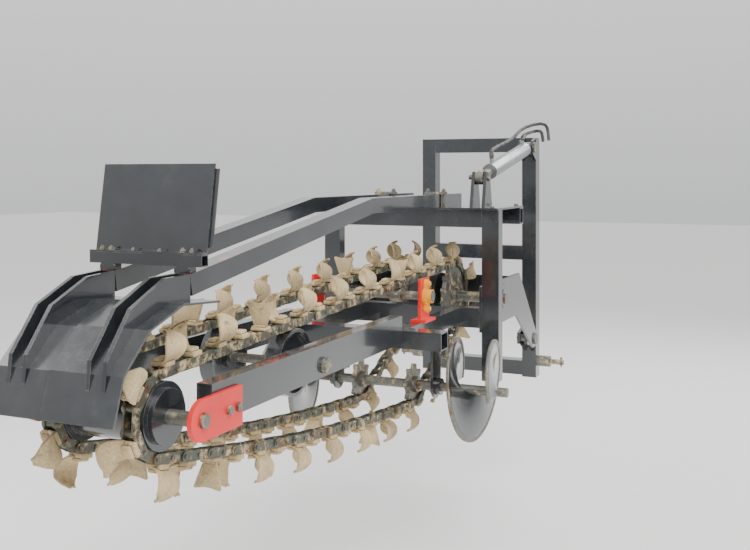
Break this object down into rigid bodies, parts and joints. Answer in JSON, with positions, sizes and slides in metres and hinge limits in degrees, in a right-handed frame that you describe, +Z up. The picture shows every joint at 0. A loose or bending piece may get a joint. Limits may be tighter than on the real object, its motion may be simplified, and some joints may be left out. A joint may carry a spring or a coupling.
{
  "type": "trencher",
  "caption": "Tractor-mounted double-chain trencher: two digging chains on a boom, spoil augers, sliding crumber with curved guard, gearbox drive and hydraulic lift on a three-point hitch frame.",
  "frame": {"origin": "centre of the top link hole, midway between its two lugs", "axes": "+Y forward towards the tractor, +X to the right of the machine, +Z up"},
  "size_m": [1.114, 3.6288, 1.4357],
  "materials": {
    "black_paint": "gloss black paint with dust",
    "red_paint": "gloss red paint",
    "orange_paint": "orange paint",
    "grey_paint": "grey paint on a honed tube",
    "cast_housing": "painted casting",
    "bare_steel": "dusty bare steel",
    "dirty_steel": "steel coated in dried tan soil",
    "hose_rubber": "black rubber hose"
  },
  "bodies": {
    "hitch": {"hitch_posts": "black_paint", "hitch_cross_beams": "black_paint", "lower_hitch_pins": "bare_steel", "top_link_lugs": "black_paint", "pivot_lugs": "black_paint", "pivot_pins": "bare_steel", "mast_lugs": "black_paint", "mast_pin": "bare_steel"},
    "barrel": {"lift_barrel": "grey_paint", "lift_hoses": "hose_rubber"},
    "rod": {"lift_rod": "bare_steel"},
    "boom": {"lift_bracket": "black_paint", "lift_pin": "bare_steel", "portal_uprights": "black_paint", "portal_cross_beams": "black_paint", "portal_top_plate": "black_paint", "portal_side_plates": "black_paint", "pivot_arms": "black_paint", "base_rails": "black_paint", "rear_cross_member": "black_paint", "side_beams": "black_paint", "gearbox_housing": "cast_housing", "gearbox_mount_plate": "black_paint", "head_bearings": "black_paint", "bearing_pedestals": "red_paint", "flange_bearings": "orange_paint", "bearing_bolts": "orange_paint", "idler_axle": "bare_steel", "auger_hangers": "black_paint", "right_chain_links": "bare_steel", "right_chain_pins": "bare_steel", "right_cutters": "dirty_steel", "cutter_bolts": "dirty_steel", "left_chain_links": "bare_steel", "left_chain_pins": "bare_steel", "left_cutters": "dirty_steel", "beam_clamps": "bare_steel"},
    "input": {"input_shaft": "bare_steel", "bevel_pinion": "bare_steel"},
    "head": {"head_shaft": "bare_steel", "head_sprockets": "bare_steel", "crown_gear": "bare_steel"},
    "carrier": {"carrier_shaft": "bare_steel", "carrier_rollers": "bare_steel"},
    "idler": {"idler_wheels": "black_paint"},
    "tail_carriage": {"tail_plates": "red_paint", "tail_bolts": "bare_steel"},
    "tail": {"tail_shaft": "bare_steel", "tail_drum": "black_paint"},
    "auger": {"auger_shaft": "bare_steel", "auger_sprockets": "bare_steel", "right_auger_flight": "black_paint", "left_auger_flight": "black_paint"},
    "crumber": {"crumber_beams": "black_paint", "crumber_ribs": "black_paint", "guard_left_plate": "black_paint", "guard_right_plate": "black_paint", "crossbar": "black_paint", "rear_panel": "black_paint", "panel_backing_sheet": "black_paint"}
  },
  "joints": [
    {"name": "boom_lift", "type": "hinge", "parent": "hitch", "child": "boom", "pos_m": [0, -0.238, -0.46], "axis": [1, 0, 0], "range_deg": [0, 30]},
    {"name": "barrel_swing", "type": "hinge", "parent": "hitch", "child": "barrel", "pos_m": [0.3, -0.178, 0.59], "axis": [1, 0, 0], "range_deg": [0, 19.31]},
    {"name": "rod_stroke", "type": "slide", "parent": "barrel", "child": "rod", "axis": [0, -0.9831, -0.1829], "range_m": [0, 0.5094]},
    {"name": "head_spin", "type": "hinge", "parent": "boom", "child": "head", "pos_m": [0, -0.938, -0.155], "axis": [1, 0, 0], "continuous": true, "deforming": ["right_chain_links", "right_chain_pins", "right_cutters", "cutter_bolts", "left_chain_links", "left_chain_pins", "left_cutters"]},
    {"name": "input_spin", "type": "hinge", "parent": "boom", "child": "input", "pos_m": [0, -0.938, -0.155], "axis": [0, 1, 0], "continuous": true},
    {"name": "carrier_spin", "type": "hinge", "parent": "boom", "child": "carrier", "pos_m": [0, -1.668, -0.065], "axis": [1, 0, 0], "continuous": true},
    {"name": "idler_spin", "type": "hinge", "parent": "boom", "child": "idler", "pos_m": [0, -2.61338, -0.18], "axis": [1, 0, 0], "continuous": true},
    {"name": "tail_tension", "type": "slide", "parent": "boom", "child": "tail_carriage", "axis": [0, -1, 0], "range_m": [-0.02, 0.04]},
    {"name": "tail_spin", "type": "hinge", "parent": "tail_carriage", "child": "tail", "pos_m": [0, -3.33338, -0.19], "axis": [1, 0, 0], "continuous": true},
    {"name": "auger_spin", "type": "hinge", "parent": "boom", "child": "auger", "pos_m": [0, -1.488, -0.48], "axis": [1, 0, 0], "continuous": true},
    {"name": "crumber_shift", "type": "slide", "parent": "boom", "child": "crumber", "axis": [0, -1, 0], "range_m": [0, 0.15]}
  ],
  "couplings": [
    {"joint": "barrel_swing", "follows": "boom_lift", "ratio": 0.6421},
    {"joint": "rod_stroke", "follows": "boom_lift", "m_per_rad": 0.9719},
    {"joint": "input_spin", "follows": "head_spin", "ratio": -3},
    {"joint": "carrier_spin", "follows": "head_spin", "ratio": 3.566},
    {"joint": "idler_spin", "follows": "head_spin", "ratio": 1.2827},
    {"joint": "tail_spin", "follows": "head_spin", "ratio": 1.47},
    {"joint": "auger_spin", "follows": "head_spin", "ratio": 2}
  ]
}
